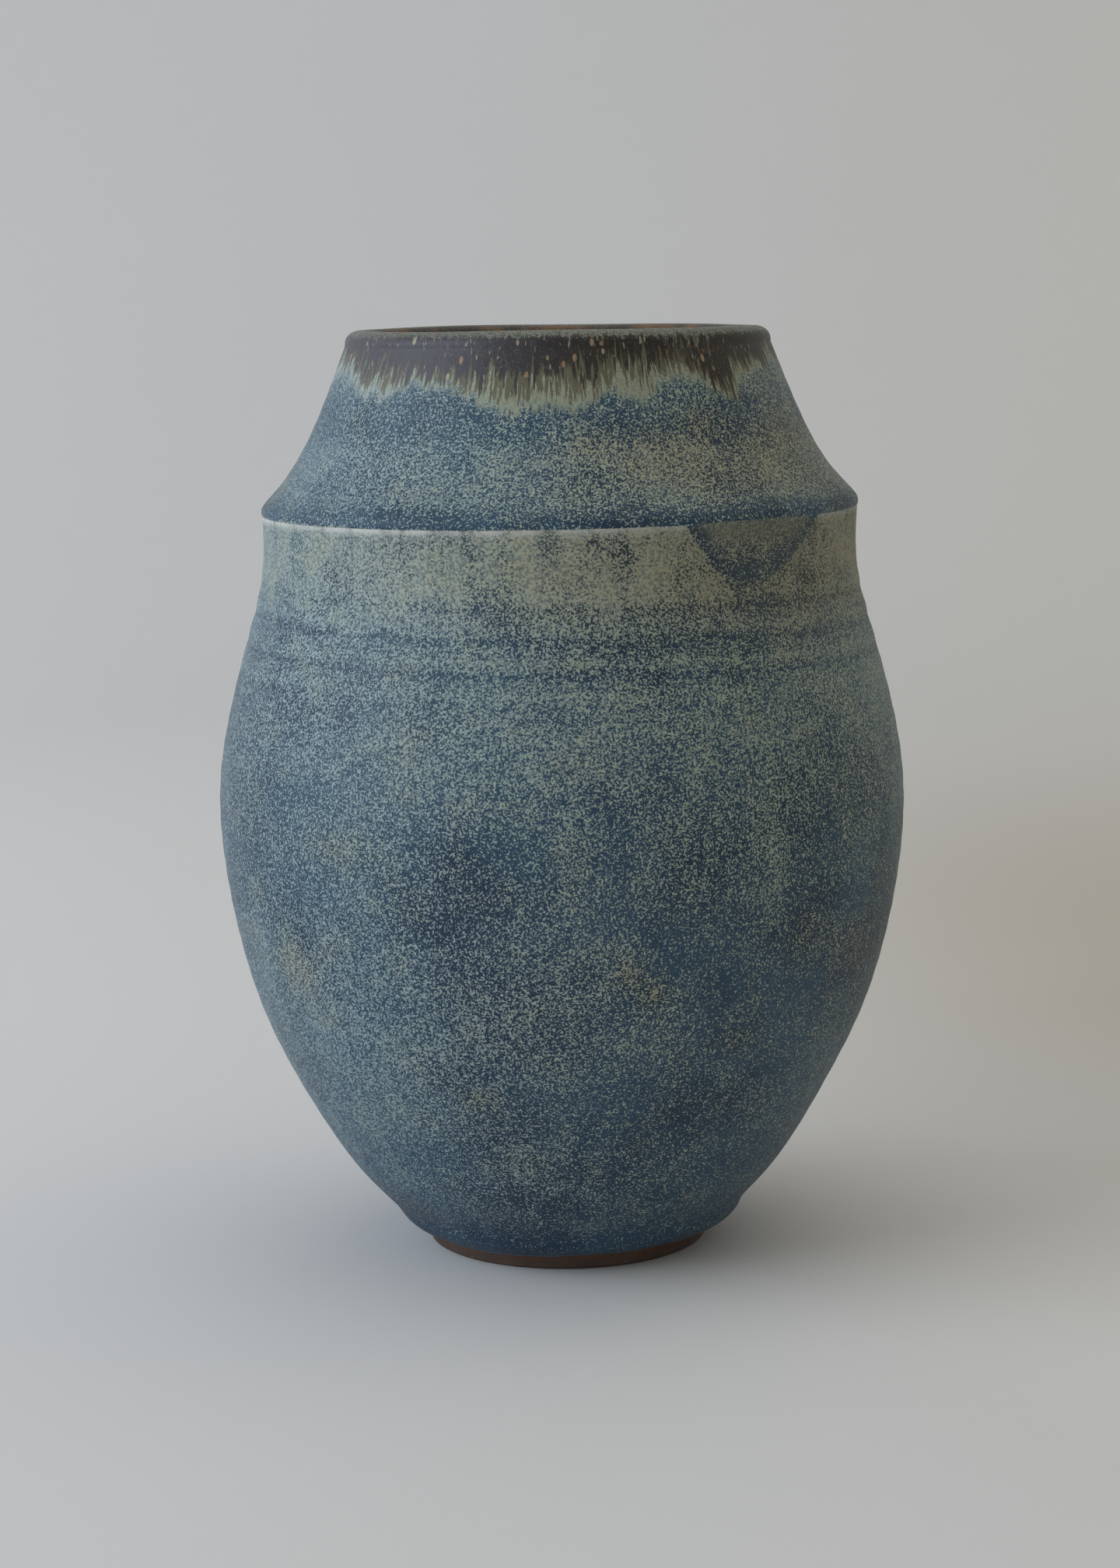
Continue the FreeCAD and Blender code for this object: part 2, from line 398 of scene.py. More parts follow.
def on_left(g, angle, start, end):
    """1 on the front's left and 0 on its right, joined up behind."""
    return g.sub(1.0, on_right(g, angle, start, end))


# Lower edge of the dark band and of the pale band under it: (angle, height)
DARK_EDGE = [
    (-180, 280.0), (-150, 278.0), (-125, 281.0), (-100, 279.5), (-80, 282.0), (-65, 280.0),
    (-50, 278.0), (-20, 277.2), (-8, 276.6), (5, 277.6), (15, 279.0), (25, 280.8), (33, 281.0),
    (38, 276.0), (44, 272.8), (48, 277.0), (55, 280.6), (70, 282.4), (90, 281.0), (120, 278.0),
    (150, 281.0), (180, 280.0),
]
PALE_EDGE = [
    (-180, 272.0), (-150, 268.0), (-125, 275.0), (-100, 271.0), (-80, 275.5), (-62, 274.0),
    (-50, 270.5), (-36, 273.3), (-20, 270.3), (-10, 266.6), (6, 267.6), (12, 271.3), (18, 268.6),
    (24, 273.0), (30, 275.5), (38, 272.6), (44, 269.0), (50, 273.8), (60, 277.2), (75, 280.0),
    (95, 276.0), (120, 269.0), (150, 274.0), (180, 272.0),
]
# Patches on the skin: (angle, height, half width in degrees, half height in mm, more crystals, more tan)
PATCHES = [
    (-52, 157, 13, 5, -0.13, 0.0),
    (-12, 140, 9, 12, -0.14, 0.0),
    (-19, 119, 8, 8, -0.1, 0.0),
    (8, 139, 3.4, 12, -0.14, 0.0),
    (47, 141, 6, 11, -0.14, 0.0),
    (13, 118, 4, 4, -0.13, 0.0),
    (20, 108, 5, 5, -0.15, 0.0),
    (27, 99, 5, 5, -0.12, 0.0),
    (50, 122, 13, 4, -0.12, 0.0),
    (-31, 92, 5, 6, -0.09, 0.0),
    (-14, 70, 6, 8, -0.08, 0.0),
    (-34, 38, 13, 12, -0.12, 0.0),
    (40, 69, 6, 5, -0.08, 0.0),
    (35, 134, 2.8, 13, 0.15, 0.1),
    (1, 150, 5, 12, 0.05, 0.0),
    (-66, 160, 7, 3, 0.12, 0.2),
    (-38, 141, 8, 6, 0.05, 0.4),
    (-52, 101, 6, 10, 0.08, 0.6),
    (10, 106, 2.6, 5, 0.09, 0.9),
    (14, 99, 2.6, 5, 0.09, 0.9),
    (44, 111, 6, 9, 0.08, 0.5),
    (59, 103, 8, 9, 0.08, 0.6),
    (30, 82, 4, 4, 0.05, 0.8),
    (4, 58, 24, 14, -0.11, 0.0),
    (38, 96, 17, 17, -0.1, 0.0),
    (64, 120, 14, 40, -0.06, 0.0),
    (42, 204, 22, 12, -0.05, 0.2),
    (-17, 65, 4, 4, 0.05, 0.6),
    (-10, 42, 6, 12, 0.05, 0.0),
    (8, 257, 4.5, 5, 0.08, 0.3),
    (18, 252, 6, 7, 0.05, 0.3),
    (28, 252, 8, 9, 0.09, 0.4),
    (34, 263, 5, 4, 0.06, 0.4),
    (50, 250, 12, 6, 0.08, 0.4),
    (60, 259, 9, 6, 0.08, 0.5),
    (13, 263, 4, 3, -0.06, 0.0),
    (-42, 262, 30, 5, -0.03, 0.0),
]

# Lower edge of the run that came over the crease: (angle, height)
RUN_EDGE = [
    (22.9, 234.3), (23.9, 231.6), (25.4, 228.6), (27.0, 225.6), (28.6, 222.0), (30.6, 218.4),
    (33.4, 216.0), (36.4, 214.9), (39.4, 215.5), (42.4, 217.5), (45.4, 219.9), (48.2, 222.7),
    (51.2, 226.2), (53.8, 229.8), (55.4, 232.4), (56.2, 234.3),
]

DEEP_BLUE = (0.011, 0.034, 0.070)
SOFT_BLUE = (0.025, 0.070, 0.118)
NAVY = (0.012, 0.022, 0.034)
CRYSTAL_COOL = (0.30, 0.385, 0.40)
CRYSTAL = (0.355, 0.415, 0.335)
CRYSTAL_TAN = (0.385, 0.38, 0.26)
FRINGE = (0.30, 0.325, 0.235)
FRINGE_COOL = (0.36, 0.41, 0.395)
FRINGE_OLIVE = (0.085, 0.072, 0.042)
PAINTED_PLUM_SHEEN = (0.056, 0.052, 0.074)
DARK_BROWN = (0.026, 0.021, 0.018)
RUST = (0.32, 0.15, 0.055)
CREAM = (0.42, 0.40, 0.28)
LIP_GREEN = (0.19, 0.21, 0.175)
EDGE_BLUE = (0.13, 0.22, 0.29)
RIDGE_PALE = (0.60, 0.60, 0.57)
OLIVE_GREY = (0.15, 0.16, 0.125)
OLIVE_DEEP = (0.045, 0.046, 0.036)
OLIVE_PALE = (0.23, 0.215, 0.145)


# Zones of the skin in mm: (starts, full from, full to, ends)
RINGED_ZONE = (178.0, 190.0, 209.0, 220.0)
SHOULDER_ZONE = (238.0, 246.0, 258.0, 268.0)
BELOW_FRINGE_ZONE = (252.0, 262.0, 268.0, 276.0)
LOWER_LEFT_ZONE = (16.0, 40.0, 80.0, 130.0)
LOWER_RIGHT_ZONE = (6.0, 30.0, 110.0, 150.0)
OLIVE_ZONE = (190.0, 218.0, 233.0, 234.2)
BELOW_RUN_ZONE = (205.0, 212.0, 217.0, 224.0)
BELOW_RUN_ANGLES = (26.0, 33.0, 41.0, 52.0)
# The same, measured up from the crease
OVER_CREASE = (-0.1, 0.2, 2.0, 8.0)
PALE_LINE = (-3.6, -0.9, -0.15, 0.05)
# Height range that the edges' curves lie in
BAND_RANGE = (260.0, 290.0)
RUN_RANGE = (210.0, 240.0)

STREAK_STRETCH = 0.0016
RIVULET_STRETCH = 0.0045
SPECK_SCALE = 1650.0
SPECK_WIDE_SCALE = 700.0
BASE_COVER = 0.478
PATCH_STRENGTH = 0.46


def outer_glaze(name, run=False):
    """The speckled blue glaze with its dark rim, as one pattern that runs on from coat to coat."""
    g = Graph(name)
    height, angle, radius, across, along = cylinder(g)
    streak_at = g.vector(across, along, g.mul(height, STREAK_STRETCH))
    streak_fine = g.noise(streak_at, 60.0, 2.0, 0.6)
    streak_wide = g.noise(streak_at, 17.0, 2.0, 0.5)
    streak_second = g.noise(g.vector(along, across, g.mul(height, STREAK_STRETCH)), 75.0, 2.0, 0.55)
    cloud = g.noise(g.point, 24.0, 3.0, 0.55)
    cloud_small = g.noise(g.point, 80.0, 2.0, 0.5)
    rivulets = g.noise(g.vector(across, along, g.mul(height, RIVULET_STRETCH)), 14.0, 3.0, 0.6)
    speck_main = g.noise(g.point, SPECK_SCALE, 1.0, 0.5)
    speck_wide = g.noise(g.point, SPECK_WIDE_SCALE, 1.0, 0.5)
    speck = g.add(g.mul(speck_main, 0.8), g.mul(speck_wide, 0.2))
    glint = g.noise(g.point, 1150.0, 0.0, 0.5)
    right_side = on_right(g, angle, -55.0, 35.0)

    # how much of the blue is covered by crystals (density), and how warm those are (tan)
    density = g.add(BASE_COVER, g.mul(g.sub(cloud, 0.5), 0.09), g.mul(g.sub(cloud_small, 0.5), 0.14))
    density = g.add(density, g.mul(g.sub(rivulets, 0.5), 0.09))
    tan = g.mul(g.rise(cloud_small, 0.5, 0.75), 0.25)
    for a, h, half_a, half_h, more, warm in PATCHES:
        da = g.mul(g.sub(angle, a), 1.0 / half_a)
        dh = g.mul(g.sub(height, h), 1.0 / half_h)
        spread = g.add(g.mul(da, da), g.mul(dh, dh))
        spot = g.math("POWER", 2.718, g.mul(spread, -1.0))
        density = g.add(density, g.mul(spot, more * PATCH_STRENGTH))
        if warm:
            tan = g.add(tan, g.mul(spot, warm))

    # the upper belly, the waist and the shoulder
    upper = g.rise(height, 140.0, 190.0)
    density = g.add(density, g.mul(upper, 0.04))
    waist = g.mul(g.rise(height, 200.0, 222.0), g.fall(height, 233.6, 234.2))
    density = g.add(density, g.mul(waist, 0.085), g.mul(g.mul(waist, g.sub(streak_wide, 0.5)), 0.3))
    density = g.add(density, g.mul(waist, g.sub(cloud_small, 0.52), 0.3))
    tan = g.add(tan, g.mul(waist, g.add(0.3, g.mul(right_side, 0.55))))
    shoulder = g.band(height, *SHOULDER_ZONE)
    tan = g.add(tan, g.mul(g.mul(shoulder, on_right(g, angle, -20.0, 30.0)), 0.4))

    # throwing rings: glaze pooled blue in each groove and broke pale on each crest
    turn = g.mul(angle, 1.0 / 360.0)
    ragged_ring = g.mul(g.sub(streak_wide, 0.5), 1.6)
    ring_at = g.add(g.mul(g.add(height, ragged_ring, -RING_START), 1.0 / RING_PITCH), turn)
    trough = g.math("COSINE", g.mul(ring_at, 2 * math.pi))
    crest = g.math("COSINE", g.mul(g.sub(ring_at, 0.39), 2 * math.pi))
    ringed = g.band(height, *RINGED_ZONE)
    deep = g.math("POWER", g.high(trough, 0.0), 4.0)
    pale_ring = g.math("POWER", g.high(crest, 0.0), 3.0)
    broken = g.add(0.45, g.rise(rivulets, 0.3, 0.7))
    density = g.add(density, g.mul(ringed, deep, broken, -0.055), g.mul(ringed, pale_ring, 0.04))

    # bluer under the fringe, over the crease and down towards the foot
    density = g.sub(density, g.mul(g.band(height, *BELOW_FRINGE_ZONE), 0.05))
    crease = g.add(CREASE, g.mul(g.math("SINE", g.mul(angle, math.pi / 180.0)), RIDGE_TILT))
    above = g.sub(height, crease)
    density = g.sub(density, g.mul(g.band(above, *OVER_CREASE), 0.11))
    density = g.sub(density, g.mul(g.fall(height, 6.0, 24.0), 0.1))
    lower_left = g.mul(g.band(height, *LOWER_LEFT_ZONE), on_left(g, angle, -20.0, 20.0))
    density = g.add(density, g.mul(lower_left, 0.04))
    lower_right = g.mul(g.band(height, *LOWER_RIGHT_ZONE), on_right(g, angle, -25.0, 45.0))
    density = g.sub(density, g.mul(lower_right, 0.045))
    density = g.sub(density, g.mul(g.fall(height, 20.0, 90.0), 0.035))
    if run:
        edge = g.curve(angle, RUN_EDGE, *RUN_RANGE)
        inside = g.add(g.sub(height, edge), g.mul(g.sub(cloud_small, 0.5), 5.0))
        low_edge = g.mul(g.fall(inside, -0.8, 2.2), g.rise(angle, 26.0, 33.0))
        density = g.add(0.425, g.mul(g.rise(inside, 3.0, 11.0), 0.09), g.mul(low_edge, 0.06))
        density = g.add(density, g.mul(g.sub(cloud_small, 0.5), 0.15))
        tan = g.add(g.mul(g.rise(inside, 4.0, 11.0), 0.5), g.mul(low_edge, 0.5))
    else:
        below_run = g.mul(g.band(angle, *BELOW_RUN_ANGLES), g.band(height, *BELOW_RUN_ZONE))
        density = g.sub(density, g.mul(below_run, 0.075))

    # specks of crystal where the fine noise passes the threshold
    threshold = g.sub(0.5, g.mul(g.sub(density, 0.5), 0.75))
    crisp = g.mul(g.fall(height, 50.0, 130.0), 0.016)
    cover_from = g.add(threshold, crisp, -0.03)
    cover_full = g.add(threshold, g.mul(crisp, -1.0), 0.045)
    cover = g.rise(speck, cover_from, cover_full)
    blue = g.blend(g.rise(cloud, 0.35, 0.65), DEEP_BLUE, SOFT_BLUE)
    blue = g.blend(g.mul(g.low(tan, 1.0), 0.7), blue, NAVY)
    crystal = g.blend(right_side, CRYSTAL_COOL, CRYSTAL)
    crystal = g.blend(g.low(tan, 1.0), crystal, CRYSTAL_TAN)
    crystal = g.blend(g.mul(g.fall(glint, 0.35, 0.6), 0.5), crystal, SOFT_BLUE)
    olive_waist = g.mul(g.band(height, *OLIVE_ZONE), on_right(g, angle, -30.0, 50.0))
    blue = g.blend(g.mul(olive_waist, 0.55), blue, OLIVE_DEEP)
    crystal = g.blend(g.mul(olive_waist, 0.45), crystal, OLIVE_PALE)
    haze = g.mul(g.rise(density, 0.5, 0.75), 0.3)
    under = g.blend(haze, blue, crystal)
    colour = g.blend(cover, under, crystal)
    if run:
        near_top = g.mul(g.rise(above, -9.0, -2.5), g.rise(inside, 3.0, 7.0))
        colour = g.blend(g.mul(near_top, 0.5), colour, OLIVE_GREY)

    # the pale line where the glaze pulled away under the crease
    if not run:
        line = g.band(above, *PALE_LINE)
        ragged = g.add(g.mul(g.rise(streak_wide, 0.3, 0.62), 0.7), 0.3)
        strong = g.add(0.3, g.mul(on_left(g, angle, -40.0, 45.0), 0.6))
        fading = g.add(0.35, g.mul(g.rise(above, -2.2, -0.4), 0.65))
        colour = g.blend(g.mul(line, ragged, strong, fading), colour, RIDGE_PALE)
    foot_line = g.fall(height, 4.9, 5.6)
    colour = g.blend(g.mul(foot_line, 0.7), colour, EDGE_BLUE)

    # the pale band that the dark glaze ran into
    pale_edge = g.curve(angle, PALE_EDGE, *BAND_RANGE)
    pale_edge = g.add(pale_edge, g.mul(g.sub(streak_wide, 0.5), 11.0), 1.2)
    pale_edge = g.add(pale_edge, g.mul(g.sub(streak_fine, 0.5), 9.0))
    pale_edge = g.add(pale_edge, g.mul(g.sub(speck, 0.5), 13.0))
    pale = g.rise(g.sub(height, pale_edge), -0.9, 1.2)
    cool = on_left(g, angle, -70.0, 0.0)
    fringe = g.blend(g.mul(cool, 0.85), FRINGE, FRINGE_COOL)
    fringe_speck = g.blend(cool, FRINGE_OLIVE, SOFT_BLUE)
    fringe = g.blend(g.mul(g.rise(speck, 0.5, 0.6), 0.4), fringe, fringe_speck)
    colour = g.blend(pale, colour, fringe)

    # olive streaks that run ahead of the dark band, then the dark band
    dark_edge = g.curve(angle, DARK_EDGE, *BAND_RANGE)
    dark_edge = g.add(dark_edge, g.mul(g.sub(streak_wide, 0.5), 15.0), -0.2)
    olive_reach = g.add(-1.4, g.mul(g.band(angle, -75.0, -50.0, 5.0, 30.0), -1.9))
    olive_edge = g.add(dark_edge, g.mul(g.sub(streak_second, 0.5), 36.0), olive_reach)
    olive_edge = g.high(olive_edge, g.add(pale_edge, 0.4))
    olive = g.rise(g.sub(height, olive_edge), -1.0, 1.0)
    colour = g.blend(g.mul(olive, 0.78), colour, FRINGE_OLIVE)
    dark_edge = g.add(dark_edge, g.mul(g.sub(streak_fine, 0.5), 26.0))
    to_dark = g.sub(height, dark_edge)
    dark = g.rise(to_dark, -0.9, 1.1)
    # painted sheen: the dark band turns plum on its lit left side, standing in for the window's
    # reflection, and stays brown on the right
    painted_sheen = on_left(g, angle, -30.0, 15.0)
    painted_sheen = g.mul(painted_sheen, g.add(0.45, g.mul(cloud_small, 0.9)))
    band_colour = g.blend(painted_sheen, DARK_BROWN, PAINTED_PLUM_SHEEN)
    band_colour = g.blend(g.mul(g.rise(speck, 0.55, 0.64), 0.16), band_colour, FRINGE)
    near = g.fall(to_dark, 0.5, 3.4)
    band_colour = g.blend(g.mul(near, 0.35), band_colour, FRINGE_OLIVE)

    # flecks and tears in the dark band where the rust and the cream show through
    fleck_at = g.vector(g.mul(across, 66.0), g.mul(along, 66.0), g.mul(height, 0.55))
    fleck_gap, fleck_kind = g.cells(fleck_at, 0.36)
    often = g.add(0.52, g.mul(g.math("ABSOLUTE", g.add(angle, 8.0)), 0.0035))
    chosen = g.rise(g.channel(fleck_kind, 0), often, g.add(often, 0.02))
    fleck_size = g.add(0.1, g.mul(g.channel(fleck_kind, 2), 0.12))
    fleck = g.mul(g.fall(fleck_gap, fleck_size, g.add(fleck_size, 0.08)), chosen)
    fleck_colour = g.blend(g.channel(fleck_kind, 1), RUST, CREAM)
    band_colour = g.blend(g.mul(fleck, 0.8), band_colour, fleck_colour)
    tear_at = g.vector(g.mul(across, 70.0), g.mul(along, 70.0), g.mul(height, 0.34))
    tear = g.noise(tear_at, 0.95, 1.0, 0.5)
    tear_limit = g.add(0.665, g.mul(g.math("ABSOLUTE", g.add(angle, 12.0)), 0.0006))
    torn = g.rise(tear, tear_limit, g.add(tear_limit, 0.03))
    tear_colour = g.blend(g.rise(cloud_small, 0.45, 0.6), CREAM, RUST)
    band_colour = g.blend(g.mul(torn, 0.6), band_colour, tear_colour)
    colour = g.blend(dark, colour, band_colour)

    # the lip, pale where the glaze ran off its edge
    lip_edge = g.add(288.45, g.mul(g.sub(streak_fine, 0.5), 3.5), g.mul(g.sub(speck, 0.5), 5.0))
    drip = g.mul(g.band(angle, 24.0, 36.0, 41.0, 46.0), g.rise(streak_second, 0.47, 0.6))
    lip_edge = g.sub(lip_edge, g.mul(drip, 7.5))
    lip = g.rise(g.sub(height, lip_edge), -0.35, 0.35)
    inner_side = g.fall(radius, 58.6, 60.0)
    lip = g.mul(lip, g.sub(1.0, inner_side))
    lip_colour = g.blend(g.mul(g.rise(speck, 0.47, 0.56), 0.6), LIP_GREEN, DARK_BROWN)
    colour = g.blend(g.mul(lip, 0.9), colour, lip_colour)
    mouth_colour = g.blend(g.mul(g.rise(cloud_small, 0.42, 0.62), 0.4), DARK_BROWN, RUST)
    mouth_colour = g.blend(g.mul(g.rise(speck, 0.5, 0.6), 0.35), mouth_colour, LIP_GREEN)
    colour = g.blend(g.mul(inner_side, g.rise(height, 270.0, 276.0)), colour, mouth_colour)
    g.link(colour, g.shader.inputs["Base Color"])

    rough = g.add(0.5, g.mul(cover, 0.12), g.mul(dark, -0.12))
    g.link(rough, g.shader.inputs["Roughness"])
    g.shader.inputs["Specular IOR Level"].default_value = 0.38
    relief = g.add(g.mul(speck, 0.8), g.mul(cloud_small, 0.6))
    soft = g.noise(g.point, 160.0, 3.0, 0.6)
    g.bumps((soft, 0.0006, 0.3), (relief, 0.00016, 0.5), (streak_fine, 0.0003, 0.12))
    return g.material


def clay_material():
    """Bare dark stoneware, turned smooth, with fine grog and iron specks."""
    g = Graph("clay_bare")
    height, _, radius, _, _ = cylinder(g)
    grain = g.noise(g.point, 900.0, 3.0, 0.65)
    blotch = g.noise(g.point, 60.0, 3.0, 0.55)
    colour = g.blend(g.rise(blotch, 0.35, 0.7), (0.085, 0.055, 0.042), (0.125, 0.078, 0.058))
    rusty = g.mul(g.band(height, 2.4, 3.4, 4.8, 5.6), 0.55)
    colour = g.blend(rusty, colour, (0.16, 0.075, 0.045))
    spot_gap, spot_kind = g.cells(g.point, 620.0)
    spots = g.mul(g.fall(spot_gap, 0.16, 0.26), g.rise(g.channel(spot_kind, 0), 0.8, 0.84))
    colour = g.blend(g.mul(spots, 0.5), colour, (0.24, 0.19, 0.15))
    colour = g.blend(g.mul(g.rise(grain, 0.55, 0.7), 0.3), colour, (0.05, 0.033, 0.026))
    g.link(colour, g.shader.inputs["Base Color"])
    g.link(g.add(0.72, g.mul(grain, 0.16)), g.shader.inputs["Roughness"])
    g.shader.inputs["Specular IOR Level"].default_value = 0.35
    turning = g.noise(g.vector(g.mul(radius, 0.02), 0.3, g.mul(height, 1.4)), 3.2, 2.0, 0.5)
    g.bumps((turning, 0.0004, 0.5), (grain, 0.0003, 0.55))
    return g.material


def liner_material():
    """The liner: rust brown breaking to dark olive, a little glossier than the outside."""
    g = Graph("liner_rust_glaze")
    height, angle, _, _, _ = cylinder(g)
    cloud = g.noise(g.point, 42.0, 4.0, 0.6)
    mottle = g.noise(g.point, 210.0, 3.0, 0.6)
    speck = g.noise(g.point, 800.0, 2.0, 0.6)
    colour = g.blend(g.rise(cloud, 0.38, 0.62), (0.045, 0.038, 0.026), (0.115, 0.068, 0.036))
    colour = g.blend(g.mul(g.rise(mottle, 0.5, 0.7), 0.4), colour, (0.17, 0.10, 0.05))
    colour = g.blend(g.mul(g.rise(speck, 0.56, 0.66), 0.4), colour, (0.1, 0.11, 0.075))
    turn = g.mul(angle, 1.0 / 360.0)
    spiral = g.math("COSINE", g.mul(g.add(g.mul(height, 1.0 / LINER_RING_PITCH), turn), 2 * math.pi))
    colour = g.blend(g.mul(g.rise(spiral, 0.2, 1.0), 0.25), colour, (0.022, 0.018, 0.014))
    g.link(colour, g.shader.inputs["Base Color"])
    g.link(g.add(0.32, g.mul(mottle, 0.2)), g.shader.inputs["Roughness"])
    g.bumps((mottle, 0.0005, 0.4), (speck, 0.0002, 0.35))
    return g.material


BLUE = outer_glaze("blue_glaze_speckled")
RIM = outer_glaze("rim_glaze_dark")
RUN = outer_glaze("blue_glaze_run", run=True)
CLAY = clay_material()
LINER_MATERIAL = liner_material()


# ---------------------------------------------------------------------------
# The pieces
# ---------------------------------------------------------------------------

SKIN_STEP = 1.9


def band_bottom_point():
    """The point of the shoulder's profile where the blue coat ends and the rim's coat starts."""
    fine = spline(RIDGE_TO_LIP, 0.2)
    return fine[np.argmin(np.abs(fine[:, 1] - BAND_BOTTOM))]


def belly_piece():
    """Blue coat from its rolled edge over the foot up to the crease."""
    roll = np.array([(44.95, 4.55), (45.15, 4.42), (45.5, 4.45)])
    collar = spline(COLLAR, 0.7)
    belly = spline(BELLY, SKIN_STEP)
    skin = np.concatenate([roll, collar, belly[1:]])
    back_skin = np.concatenate([collar, belly[1:]])
    back = inset(back_skin, GLAZE)[::-1]
    back = back[::4] if len(back) % 4 == 1 else np.concatenate([back[::4], back[-1:]])
    loop = np.concatenate([skin, back])
    return lathe("glaze_belly", loop, np.ones(len(loop)), BLUE, "belly_glaze")


def shoulder_piece():
    """Blue coat from the crease, round the ridge, up to the dark band."""
    curve = spline(RIDGE_TO_LIP, 0.35)
    low_part = curve[curve[:, 1] < 241.0]
    ridge = np.concatenate([[(92.85, 233.75)], low_part])
    above = spline(RIDGE_TO_LIP, SKIN_STEP)
    above = above[above[:, 1] > 241.2]
    above = above[above[:, 1] < BAND_BOTTOM - 0.2]
    last = band_bottom_point()
    skin = np.concatenate([ridge, above, [last]])
    back = inset(np.concatenate([above[::5], [last]]), GLAZE)[::-1]
    low = np.array([(91.6, 237.0), (92.1, 233.75)])
    loop = np.concatenate([skin, back, low])
    return lathe("glaze_shoulder", loop, np.ones(len(loop)), BLUE, "shoulder_glaze")


def rim_piece():
    """Dark coat from the band's start, over the lip and down to the mouth."""
    first = band_bottom_point()
    upper = spline(RIDGE_TO_LIP, 0.9)
    upper = upper[upper[:, 1] > BAND_BOTTOM + 0.2]
    lip = spline(LIP, 0.35)
    skin = np.concatenate([[first], upper, lip[1:]])
    back = inset(skin, GLAZE)[::-1]
    back = np.concatenate([back[:-1:3], back[-1:]])
    loop = np.concatenate([skin, back])
    return lathe("glaze_rim", loop, np.ones(len(loop)), RIM, "rim_glaze")


def liner_piece():
    """Rust-brown coat over the whole inside, with the throwing rings showing through."""
    skin = spline(INSIDE, 2.4)[::-1]
    skin[:, 0] += np.where(skin[:, 0] > 20, 0.32 * np.cos(2 * math.pi * skin[:, 1] / LINER_RING_PITCH), 0)
    skin[0] = (57.2, 285.4)
    back = inset(skin, LINER)
    back[-1] = (0.0, FLOOR_TOP)
    back[0] = (57.8, 285.4)
    back = back[::-1]
    back = np.concatenate([back[:-1:4], back[-1:]])
    loop = np.concatenate([skin, back])
    return lathe("glaze_liner", loop, np.zeros(len(loop)), LINER_MATERIAL, "liner_glaze",
                 segments=SEGMENTS // 2)


def clay_outline(low, high):
    """The clay under the glaze between two heights, from low to high."""
    skin = np.concatenate([spline(COLLAR, 2.0), spline(BELLY, 6.0)[1:]])
    clay = inset(skin, GLAZE + 0.02)
    return clay[(clay[:, 1] > low) & (clay[:, 1] < high)]


def lower_body_piece():
    """Clay of the foot ring, floor, belly and waist; only the foot is bare."""
    foot = [
        (0.0, FOOT_RECESS), (18.0, FOOT_RECESS), (34.0, FOOT_RECESS), (35.6, 3.3), (36.4, 2.4),
        (36.7, 0.9), (37.0, 0.3), (37.7, 0.0), (40.0, 0.0), (42.6, 0.0), (43.6, 0.08), (44.15, 0.4),
        (44.4, 1.0), (44.5, 1.9), (44.62, 2.8), (44.72, 3.6), (44.8, 4.3), (44.85, 5.2),
    ]
    outside = clay_outline(6.0, SEAM)
    inside = spline(INSIDE, 7.0)
    inside = inset(inside, -LINER)
    inside = inside[(inside[:, 1] < SEAM) & (inside[:, 0] > 1.0)][::-1]
    seam = [(SEAM_OUTER, SEAM), (SEAM_INNER, SEAM)]
    loop = np.concatenate([foot, outside, seam, inside, [(0.0, FLOOR_TOP)]])
    outer = np.r_[np.zeros(len(foot)), np.ones(len(outside) + 1), np.zeros(len(inside) + 2)]
    return lathe("clay_lower_body", loop, outer, CLAY, "lower_body", glaze_edge=0.0)


def shoulder_section_piece():
    """Clay of the shoulder and lip, all of it under glaze."""
    inside = inset(spline(INSIDE, 7.0), -LINER)
    inside = inside[(inside[:, 1] > SEAM) & (inside[:, 1] < 285.0)][::-1]
    skin = np.concatenate([spline(RIDGE_TO_LIP, 3.0), spline(LIP, 1.0)[1:]])
    clay = inset(skin, GLAZE + 0.02)
    clay = clay[clay[:, 1] > SEAM + 0.3]
    loop = np.concatenate([[(SEAM_OUTER, SEAM)], clay, inside, [(SEAM_INNER, SEAM)]])
    outer = np.r_[np.ones(len(clay) + 1), np.zeros(len(inside) + 1)]
    return lathe("clay_shoulder_section", loop, outer, CLAY, "shoulder_section",
                 segments=SEGMENTS // 2)


def run_edge(a):
    """Height of the run's lower edge at an angle from the front, in mm."""
    curve = spline(RUN_EDGE, 0.25)
    ragged = 0.2 * np.sin(a * 1.7) + 0.15 * np.sin(a * 4.1) + 0.1 * np.sin(a * 9.3)
    return np.interp(a, curve[:, 0], curve[:, 1]) + ragged


